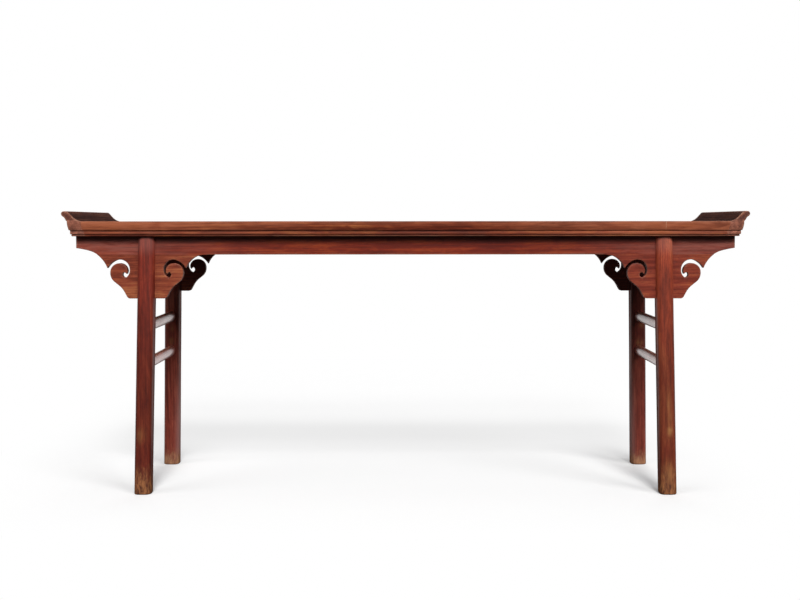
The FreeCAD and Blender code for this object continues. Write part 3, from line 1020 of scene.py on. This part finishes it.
def leaning_leg(name, side_x, side_y, node, material, scuffs=()):
    """Leg between round and square, leaning outwards, with the slot for apron and spandrel.

    scuffs are worn marks on its front, each (height, half height, across, half width, depth).
    """
    half_slot = BOARD_THICKNESS / 2 + SLOT_PLAY

    def ring(height, half_width):
        """Points round the leg in four runs: away from the table, left, towards it, right."""
        centre_x, centre_y = leg_x(height), leg_y(height)
        split_y = leg_y(max(height, SPANDREL_BOTTOM))
        outer = leg_angle(BOARD_Y + half_slot - split_y)
        inner = leg_angle(BOARD_Y - half_slot - split_y)
        spans = (
            (outer, math.pi - outer, LEG_ARC_COUNT),
            (math.pi - outer, math.pi - inner, LEG_SIDE_COUNT),
            (math.pi - inner, math.tau + inner, LEG_ARC_COUNT),
            (inner, outer, LEG_SIDE_COUNT),
        )
        runs = []
        for low, high, number in spans:
            angles = [low + (high - low) * k / number for k in range(number + 1)]
            runs.append([
                Vector((
                    side_x * (centre_x + half_width * leg_reach(a) * math.cos(a)),
                    side_y * (centre_y + half_width * leg_reach(a) * math.sin(a)),
                    height,
                ))
                for a in angles
            ])
        return runs

    # One column up to the slot, and a half on each side of it from there
    skin = Skin()
    levels = [(z, LEG_HALF_WIDTH - less) for z, less in FOOT_ROUNDING]
    levels += [(z, LEG_HALF_WIDTH) for z in stations(0.012, SPANDREL_BOTTOM, 0.012)]
    rows = [sum((run[:-1] for run in ring(z, half_width)), []) for z, half_width in levels]
    skin.strip(rows, wrap=True)
    skin.patch(rows[0])
    floor_runs = ring(SPANDREL_BOTTOM, LEG_HALF_WIDTH)
    floor = []
    for part in (0, 2):
        rows = []
        for z in stations(SPANDREL_BOTTOM, FRAME_BOTTOM, 0.008):
            arc = ring(z, LEG_HALF_WIDTH)[part]
            rows.append(arc + [arc[-1].lerp(arc[0], k / 4) for k in (1, 2, 3)])
        skin.strip(rows, wrap=True)
        skin.patch(rows[-1])
        floor += [rows[0][0]] + rows[0][:-4:-1] + floor_runs[part + 1][:-1]
    skin.patch(floor)

    def worn(point):
        across = point.x - side_x * leg_x(point.z)
        front = point.y < side_y * leg_y(point.z)
        marks = [
            depth * math.exp(-((point.z - z) / high) ** 2 - ((across - x) / wide) ** 2)
            for z, high, x, wide, depth in scuffs
        ]
        return max(marks, default=0.0) if front else 0.0

    return wood_piece(name, skin, material, [node], worn=worn)


def stretcher_tree():
    """Oval bar between two legs, as one node tree.

    A grid is rolled up into the bar. Its last rows shrink to the middle of each end, and every
    point of an end is set on the leg's surface, so that the ends are shaped to fit it.
    """
    kit, sockets, given = new_tree("oval bar", (
        "Middle x", "Middle height", "Width", "Height", "Leg distance", "Leg half width",
        "Leg squareness", "Leg lean", "Material",
    ))
    rows = BAR_ROWS + 2 * BAR_END_ROWS
    grid = kit.out("GeometryNodeMeshGrid", "Mesh", {
        "Size X": 1.0, "Size Y": 1.0, "Vertices X": BAR_SIDES + 1, "Vertices Y": rows + 1,
    })
    place = kit.outs("ShaderNodeSeparateXYZ", {0: kit.out("GeometryNodeInputPosition")})
    turn = place["X"] * math.tau
    along = place["Y"] * (rows / BAR_ROWS * 2)
    shrink = kit.maths("DIVIDE", rows / BAR_ROWS - abs(along), 2 * BAR_END_ROWS / BAR_ROWS, clamp=True)
    across = kit.maths("COSINE", turn) * (given["Width"] * 0.5) * shrink
    above = kit.maths("SINE", turn) * (given["Height"] * 0.5) * shrink
    share = abs(across) / given["Leg half width"]
    into_leg = (1.0 - share ** given["Leg squareness"]) ** (1.0 / given["Leg squareness"])
    reach = given["Leg distance"] - above * given["Leg lean"] - into_leg * given["Leg half width"]
    t = kit.maths("MAXIMUM", kit.maths("MINIMUM", along, 1.0), -1.0)
    on_bar = kit.vector(X=given["Middle x"] + across, Y=t * reach, Z=given["Middle height"] + above)
    shaped = kit.out("GeometryNodeSetPosition", 0, {"Geometry": grid, "Position": on_bar})
    closed = kit.out("GeometryNodeMergeByDistance", 0, {"Geometry": shaped, "Distance": MERGED})
    end_tree(kit, closed, given["Material"])
    return kit, sockets


def stretcher(name, side, height, node_name, material, kit, sockets):
    """Oval bar between the front and the back leg, its top a little lighter."""
    mesh = grown(name, kit, sockets, {
        "Middle x": side * leg_x(height),
        "Middle height": height,
        "Width": STRETCHER_WIDTH,
        "Height": STRETCHER_HEIGHT,
        "Leg distance": leg_y(height),
        "Leg half width": LEG_HALF_WIDTH,
        "Leg squareness": LEG_SQUARENESS,
        "Leg lean": LEG_LEAN_Y_SHARE,
        "Material": material,
    })
    skin = Skin()
    skin.points = [v.co.copy() for v in mesh.vertices]
    skin.faces = [tuple(p.vertices) for p in mesh.polygons]
    bpy.data.meshes.remove(mesh)

    def worn(point):
        return smooth_between(point.z - height, STRETCHER_HEIGHT * 0.22, STRETCHER_HEIGHT * 0.5)

    return wood_piece(name, skin, material, [node_name], worn=worn)


# Wood

# Tones of the finish, each dark, middle and light
RAIL_TONES = ("602516", "823822", "a35c35")
END_TONES = ("501f14", "70311f", "925336")
PANEL_TONES = ("502216", "6b3020", "874629")
BRACE_TONES = ("4a2419", "6e3b28", "8c563c")
APRON_TONES = ("611c12", "7b2a1a", "974124")
SCROLL_TONES = {"left": ("6c2a1a", "92462f", "b06a44"), "right": ("6c2519", "8b3b2a", "a25436")}
LEG_TONES = {
    "front_left": ("6b2418", "842f20", "9b442e"),
    "front_right": ("7b301f", "9d4129", "b1593a"),
    "back_left": ("742c21", "934031", "ab5d49"),
    "back_right": ("6c2a1f", "883b2e", "a05643"),
}
# Much paler than the rest of the wood: painted sheen, for the white backdrop that the oval bars mirror
SHEEN_PALE_BAR_TONES = ("b66050", "da7c6a", "ee9e8a")
EDGE_TONE = "ab7f66"
# Painted sheen: a painted highlight at the top of the legs and a painted reflection of the floor low on
# the back legs
PAINTED_SHEEN_TONE = "a8766e"
PORE_TONE = "260d08"
FILLER_TONE = "c9a184"

# Height of the bare wood at the legs' feet, and its two tones
FEET = {"front": (0.060, ("4c2413", "a0663c")), "back": (0.034, ("906048", "bd8660"))}

# Scale along and across the grain, detail, roughness, distortion and shift of each noise
NOISES = {
    "tone": (3.2, 14.0, 3.0, 0.55, 0.5, 0.0),
    "mottle": (14.0, 60.0, 4.0, 0.6, 0.8, 3.0),
    "streak": (3.0, 170.0, 5.0, 0.62, 0.0, 5.0),
    "fibre": (16.0, 620.0, 3.0, 0.6, 0.0, 9.0),
    "pore": (70.0, 1300.0, 1.0, 0.4, 0.0, 11.0),
    "warp": (2.6, 22.0, 3.0, 0.55, 0.0, 13.0),
    "patch": (11.0, 70.0, 4.0, 0.62, 0.5, 17.0),
    "fleck": (420.0, 420.0, 3.0, 0.6, 0.0, 19.0),
    "foot": (26.0, 62.0, 5.0, 0.7, 0.6, 21.0),
    "grime": (34.0, 150.0, 5.0, 0.7, 0.5, 25.0),
    "crumble": (300.0, 300.0, 2.0, 0.5, 0.0, 27.0),
}

GRAIN_TILT = 0.012
GRAIN_TURNS = {
    "x": (0.0, 0.0, 0.0),
    "y": (0.0, 0.0, math.radians(-90)),
    "z": (0.0, math.radians(90), 0.0),
}


def colour(code):
    """A colour from its six hex digits, in the linear values that a shader takes."""
    parts = [int(code[i:i + 2], 16) / 255 for i in (0, 2, 4)]
    linear = [p / 12.92 if p <= 0.04045 else ((p + 0.055) / 1.055) ** 2.4 for p in parts]
    return (*linear, 1.0)


def hardwood(name, grain, seed, tones, figure_depth=1.0, rings=1.0, streaks=1.0,
             rub_tone="96573a", end_tone="5f3024", foot=0.0, foot_tones=None, painted_leg_shade=1.0,
             roughness=0.34, specular=0.36, coat=0.0, painted_sheen_side=0, painted_shade_side=0, quirk_shade_at=None,
             repair_at=None):
    """Old lacquered hardwood with the grain along one axis.

    figure_depth, rings and streaks say how strong the mottling, the growth rings and the
    streaks are. rub_tone shows where a face is rubbed, and end_tone in end grain. The wood is
    bare below the height foot, in foot_tones, and painted_leg_shade is how dark the painted shade gets
    half way down a leg, darker towards the floor; below 1 it also brings a painted highlight to
    the leg's top. haze and painted_shade_side are the sign of X of the faces that have a pale painted
    reflection near the floor and of those that are darker with painted shade. quirk_shade_at is the
    height of the painted shade in the moulding's quirk, and repair_at the place of a filled crack
    across the wood.
    """
    material = bpy.data.materials.new(name)
    kit = emptied(material)
    ranged, mixed, shaded = kit.ranged, kit.mixed, kit.shaded
    where = kit.out("ShaderNodeTexCoord", "Object")
    place = kit.outs("ShaderNodeSeparateXYZ", {"Vector": where})
    facing = kit.outs("ShaderNodeSeparateXYZ", {"Vector": kit.out("ShaderNodeTexCoord", "Normal")})
    turn = GRAIN_TURNS[grain]
    lined = kit.out("ShaderNodeMapping", 0, {
        "Vector": where,
        "Rotation": (turn[0], turn[1] + GRAIN_TILT, turn[2] + GRAIN_TILT * 0.7),
        "Location": (seed * 0.37, seed * 0.211 - 0.06, seed * 0.173 + 0.05),
    })

    def noise_of(kind):
        along, across, detail, grit, distortion, shift = NOISES[kind]
        scaled = kit.out("ShaderNodeMapping", 0, {
            "Vector": lined, "Scale": (along, across, across),
            "Location": (shift, shift * 0.7, seed * 1.3 + shift),
        })
        return kit.out("ShaderNodeTexNoise", "Fac", {
            "Vector": scaled, "Scale": 1.0, "Detail": detail, "Roughness": grit,
            "Distortion": distortion,
        })

    tone, mottle, streak, fibre, warp = map(noise_of, ("tone", "mottle", "streak", "fibre", "warp"))
    bent = kit.out("ShaderNodeVectorMath", 0, {
        0: lined, 1: kit.vector(Y=(warp - 0.5) * 0.050, Z=(mottle - 0.5) * 0.016),
    }, operation="ADD")
    growth = kit.out("ShaderNodeTexWave", "Fac", {
        "Vector": bent, "Scale": 21.0, "Distortion": 1.6, "Detail": 3.0, "Detail Scale": 1.4,
    }, wave_type="RINGS", rings_direction="X", wave_profile="SAW")

    # The finish: its figure, growth rings, fibres, streaks and pores
    figure = tone * 0.40 + mottle * 0.26 + streak * 0.34
    figure = ranged(figure, 0.5 - 0.17 / figure_depth, 0.5 + 0.17 / figure_depth)
    ramp = kit.add("ShaderNodeValToRGB", {"Fac": figure})
    dark, base, warm = map(colour, tones)
    ramp.color_ramp.elements[0].color = dark
    ramp.color_ramp.elements[1].color = warm
    ramp.color_ramp.elements.new(0.5).color = base
    ringed = ranged(growth, 0.0, 1.0, 1.0 - 0.16 * rings, 1.0 + 0.10 * rings)
    tint = shaded(Wire(kit, ramp.outputs["Color"]), ringed)
    tint = shaded(tint, ranged(fibre, 0.3, 0.7, 0.86, 1.13))
    tint = shaded(tint, ranged(streak, 0.34, 0.66, 1.0 - 0.2 * streaks, 1.0 + 0.2 * streaks))
    pores = ranged(noise_of("pore"), 0.60, 0.68)
    tint = mixed(pores * 0.5, tint, colour(PORE_TONE))
    # Painted shade that darkens a leg towards the floor, and a painted highlight in the pale sheen tone
    # at its top
    if painted_leg_shade < 1.0:
        tint = shaded(tint, ranged(place["Z"], 0.30, 0.78, painted_leg_shade, 1.0))
        tint = mixed(ranged(place["Z"], 0.735, 0.780, 0.0, 0.22), tint, colour(PAINTED_SHEEN_TONE))
    # Painted shade on the faces that turn towards the table's middle
    if painted_shade_side:
        tint = shaded(tint, ranged(facing["X"] * painted_shade_side, 0.08, 0.34, 1.0, 0.24))
    # Painted reflection of the floor in the pale sheen tone, low on a leg's inner side
    if painted_sheen_side:
        painted_sheen = ranged(facing["X"] * painted_sheen_side, -0.1, 0.9) * ranged(place["Z"], 0.12, 0.46, 0.6, 0.0)
        tint = mixed(painted_sheen, tint, colour(PAINTED_SHEEN_TONE))

    # End grain takes the finish darker.
    ends = ranged(abs(facing[grain.upper()]), 0.80, 0.97)
    fleck = ranged(noise_of("fleck"), 0.35, 0.65, 0.85, 1.12)
    tint = mixed(ends, tint, shaded(mixed(0.55, tint, colour(end_tone)), fleck))

    # Faces and arrises are rubbed to lighter wood, more on some stretches than on others.
    patchy = ranged(noise_of("patch"), 0.34, 0.66)
    rub = kit.out("ShaderNodeAttribute", "Fac", attribute_name="rubbed") * (patchy * 0.65 + 0.35)
    tint = mixed(rub, tint, shaded(colour(rub_tone), ranged(streak, 0.3, 0.7, 0.84, 1.14)))
    edge = kit.out("ShaderNodeAttribute", "Fac", attribute_name="edge_wear") * (patchy * 0.75 + 0.15)
    tint = mixed(edge, tint, colour(EDGE_TONE))
    # Painted shade in the moulding's quirk, dark from the left end to the middle; towards the right end
    # the quirk turns lighter
    if quirk_shade_at is not None:
        quirk_shade_factor = ranged(place["X"], 0.2, 0.8, 0.75, 1.4)
        tint = shaded(tint, ranged(abs(place["Z"] - quirk_shade_at), 0.0012, 0.0026, quirk_shade_factor, 1.0))

    # Gloss fades where the finish is thin or rubbed, and at a glancing angle.
    gloss = ranged(figure, 0.0, 1.0, roughness + 0.05, roughness - 0.04) + rub * 0.08
    glancing = kit.out("ShaderNodeLayerWeight", "Facing", {"Blend": 0.5})
    gloss = gloss + ranged(glancing, 0.5, 0.95, 0.0, 0.12 if coat else 0.45)
    if foot:
        level = place["Z"] / foot - 1.0 + (noise_of("foot") - 0.5) * 3.4
        bare = ranged(level, -0.75, 0.75, 1.0, 0.0) * (1.0 - rub * 0.8)
        bare_tint = mixed(ranged(noise_of("grime"), 0.36, 0.62), *map(colour, foot_tones))
        tint = mixed(bare, tint, shaded(bare_tint, ranged(fibre, 0.3, 0.7, 0.86, 1.10)))
        gloss = gloss + bare * 0.3
    if repair_at is not None:
        off = abs(place["X"] - repair_at) + (mottle - 0.5) * 0.002
        crack = ranged(off, 0.0006, 0.0013, 1.0, 0.0) * ranged(noise_of("crumble"), 0.42, 0.55)
        crack = crack * ranged(place["Z"], 0.822, 0.826)
        tint = mixed(crack * 0.7, tint, colour(FILLER_TONE))

    relief = streak * 0.5 + pores * -0.6 + mottle * 0.5
    bump = kit.out("ShaderNodeBump", 0, {"Strength": 0.35, "Distance": 0.0004, "Height": relief})
    shader = kit.out("ShaderNodeBsdfPrincipled", 0, {
        "Base Color": tint, "Roughness": gloss, "Normal": bump,
        "Specular IOR Level": specular, "Coat Weight": coat, "Coat Roughness": 0.16,
    })
    kit.add("ShaderNodeOutputMaterial", {"Surface": shader})
    return material


# The table

LEG_SCUFFS = {
    "front_right": (
        (0.285, 0.040, 0.004, 0.007, 0.45), (0.200, 0.014, 0.006, 0.008, 0.85),
        (0.245, 0.020, 0.005, 0.007, 0.5), (0.063, 0.034, 0.001, 0.012, 1.0),
    ),
    "front_left": ((0.185, 0.020, -0.006, 0.012, 0.35),),
    "back_left": ((0.437, 0.008, -0.001, 0.009, 0.7), (0.480, 0.012, 0.002, 0.007, 0.3)),
    "back_right": ((0.432, 0.009, 0.004, 0.012, 0.8), (0.493, 0.007, 0.011, 0.008, 0.6)),
}
FACES = ((-1, "front"), (1, "back"))
ENDS = ((-1, "left"), (1, "right"))
REPAIR_X = 0.7995


def build_table():
    """Every piece of the table, each in its own wood; a number in a wood is its seed."""
    quirk = TOP_HEIGHT - UPPER_BAND_HEIGHT - QUIRK_HEIGHT * 0.6
    for side, face in FACES:
        moulded_rail(face + "_moulded_rail", side, face + "_rail", hardwood(
            face + " rail", "x", 1.0 + side, RAIL_TONES, figure_depth=1.5, rings=0.6,
            rub_tone="b26546", quirk_shade_at=quirk, repair_at=REPAIR_X if side < 0 else None))
        long_apron(face + "_swept_apron", side, face + "_apron", hardwood(
            face + " apron", "x", 5.0 + side, APRON_TONES, figure_depth=1.3, rings=0.35,
            rub_tone="9c594c", streaks=0.6))
    for side, end in ENDS:
        flanged_end(end + "_end_and_flange", side, end + "_flanged_end", hardwood(
            end + " end", "y", 9.0 + side, END_TONES, figure_depth=1.3, rub_tone="b06e58",
            end_tone="4c3531", quirk_shade_at=quirk, roughness=0.4, specular=0.25, painted_shade_side=-side))
        end_apron(end + "_short_apron", side, end + "_end_apron", hardwood(
            end + " short apron", "y", 13.0 + side, APRON_TONES, figure_depth=1.3, rings=0.35))
    split_y = (2 * PANEL_SPLIT_SHARE - 1) * PANEL_HALF_WIDTH
    outer_y = PANEL_HALF_WIDTH - PANEL_PLAY
    panel_plank("front_panel_plank", -outer_y, split_y, "front_panel_board",
                hardwood("front panel", "x", 17.0, PANEL_TONES))
    panel_plank("back_panel_plank", split_y, outer_y, "back_panel_board",
                hardwood("back panel", "x", 19.0, PANEL_TONES))
    cross_braces(hardwood("braces", "y", 23.0, BRACE_TONES))
    seed = 30.0
    for side_y, face in FACES:
        foot, foot_tones = FEET[face]
        in_front = side_y < 0
        for side_x, end in ENDS:
            corner = face + "_" + end
            seed += 3.1
            spandrel(corner + "_scroll", side_x, side_y, corner + "_spandrel", hardwood(
                corner + " scroll", "x", seed, SCROLL_TONES[end], figure_depth=1.2,
                rings=0.35, streaks=0.35))
            leaning_leg(corner + "_leaning_leg", side_x, side_y, corner + "_leg", hardwood(
                corner + " leg", "z", seed + 1.3, LEG_TONES[corner], figure_depth=1.1, rings=0.5,
                painted_leg_shade=0.47 if in_front else 0.95, rub_tone="ab7a48", streaks=0.8, foot=foot,
                roughness=0.42, foot_tones=foot_tones, painted_sheen_side=0 if in_front else -side_x,
            ), LEG_SCUFFS[corner])
    kit, sockets = stretcher_tree()
    for side, end in ENDS:
        for level, height in STRETCHER_LEVELS.items():
            seed += 1.7
            label = "%s_%s" % (end, level)
            stretcher(label + "_oval_bar", side, height, label + "_stretcher", hardwood(
                label + " bar", "y", seed, SHEEN_PALE_BAR_TONES, rub_tone="9a6448",
                roughness=0.28, coat=0.8), kit, sockets)


# Studio

# Name, azimuth, elevation, spread, level and whether the finish mirrors it
LAMPS = (
    ("front lamp", 6, 46, 13, 0.56, True),
    ("low front lamp", 5, 39, 26, 0.26, True),
    ("right lamp", 43, 36, 26, 0.33, True),
    ("left lamp", -56, 33, 40, 0.20, True),
    ("glancing lamp", 4, 26, 20, 0.06, True),
    ("ceiling lamp", 180, 80, 60, 0.06, True),
    ("back lamp", 176, 28, 50, 0.20, False),
)
WORLD_ON_FLOOR = 0.015
FLOOR_LIGHT = WORLD_ON_FLOOR + sum(
    level * math.sin(math.radians(elevation)) for _, _, elevation, _, level, _ in LAMPS
)
FLOOR_REACH = 60.0
FLOOR_LEVEL = -0.0004
CAMERA_PLACE = (-0.0085, -3.6539, 0.8438)
CAMERA_TURN = (90 - 3.953, 0.030, 0.128)


def studio_world():
    """White behind the table and low down; dim light from everywhere else."""
    world = bpy.data.worlds.new("studio")
    bpy.context.scene.world = world
    kit = emptied(world)
    path = kit.outs("ShaderNodeLightPath")
    way = kit.outs("ShaderNodeSeparateXYZ", {"Vector": kit.out("ShaderNodeTexCoord", "Generated")})
    backdrop = kit.ranged(way["Y"], 0.35, 0.80) * kit.ranged(way["Z"], 0.05, 0.22, 1.0, 0.0)
    backdrop = kit.ranged(backdrop, 0.0, 1.0, 0.05, 0.85)
    seen = kit.maths("MAXIMUM", path["Is Glossy Ray"], path["Is Transmission Ray"])
    strength = kit.chosen(seen, WORLD_ON_FLOOR, backdrop)
    strength = kit.chosen(path["Is Camera Ray"], strength, 1.0)
    light = kit.out("ShaderNodeBackground", 0, {"Color": (1, 1, 1, 1), "Strength": strength})
    kit.add("ShaderNodeOutputWorld", {"Surface": light})


def studio_floor():
    """Pale floor that keeps the table's shadow and runs into the white background.

    Near the table it is a matt surface, and farther off more and more of it is the plain white
    of the background.
    """
    mesh = bpy.data.meshes.new("studio_floor")
    sides = ((-1, -1), (1, -1), (1, 1), (-1, 1))
    corners = [(x * FLOOR_REACH, y * FLOOR_REACH, FLOOR_LEVEL) for x, y in sides]
    mesh.from_pydata(corners, [], [(0, 1, 2, 3)])
    floor = placed("studio_floor", mesh)
    material = bpy.data.materials.new("studio floor")
    kit = emptied(material)
    ranged = kit.ranged
    place = kit.outs("ShaderNodeSeparateXYZ", {0: kit.out("ShaderNodeTexCoord", "Object")})
    near = ranged(place["Y"], 0.05, 0.62, 0.88, 0.25) + ranged(place["Y"], 1.05, 1.6, 0.0, 0.50)
    ahead = ranged(place["Y"], -0.70, -0.18)
    behind = ranged(place["Y"], 2.2, 3.2, 1.0, 0.0)
    aside = ranged(abs(place["X"] + 0.12), 0.90, 1.36, 1.0, 0.0)
    matt = near * ahead * (behind * aside)
    path = kit.outs("ShaderNodeLightPath")
    direct = path["Is Camera Ray"]
    ground = kit.out("ShaderNodeBsdfDiffuse", 0, {
        "Color": kit.mixed(direct, (0.02, 0.02, 0.02, 1), kit.grey(matt)),
    })
    # What the lamps don't add to the matt part is added as a plain glow.
    glow = direct * (1.0 - matt * FLOOR_LIGHT)
    # Reflections see the white behind the table, and a dim studio in front of it.
    seen = kit.maths("MAXIMUM", path["Is Glossy Ray"], path["Is Transmission Ray"])
    glow = glow + seen * ranged(place["Y"], -0.1, 0.7, 0.10, 1.0)
    glowing = kit.out("ShaderNodeEmission", 0, {"Color": (1, 1, 1, 1), "Strength": glow})
    both = kit.out("ShaderNodeAddShader", 0, {0: ground, 1: glowing})
    kit.add("ShaderNodeOutputMaterial", {"Surface": both})
    mesh.materials.append(material)


def soft_lamp(name, azimuth, elevation, spread, level, mirrored):
    """A distant soft lamp; azimuth 0 is in front of the table and 90 at its right-hand end."""
    lamp = bpy.data.lights.new(name, "SUN")
    lamp.energy = level * math.pi
    lamp.angle = math.radians(spread)
    holder = placed(name, lamp)
    a, e = math.radians(azimuth), math.radians(elevation)
    towards = Vector((math.sin(a) * math.cos(e), -math.cos(a) * math.cos(e), math.sin(e)))
    holder.rotation_euler = towards.to_track_quat("Z", "Y").to_euler()
    holder.visible_glossy = mirrored


def studio_camera():
    """The camera of the main view, just under the height of the top and tilted down a little."""
    view = bpy.data.cameras.new("front view")
    view.lens = 50.0
    view.sensor_width = 36.0
    camera = placed("front view", view)
    camera.location = CAMERA_PLACE
    camera.rotation_euler = [math.radians(angle) for angle in CAMERA_TURN]
    bpy.context.scene.camera = camera


build_table()
studio_world()
studio_floor()
for lamp in LAMPS:
    soft_lamp(*lamp)
studio_camera()
bpy.context.scene.view_settings.view_transform = "Standard"
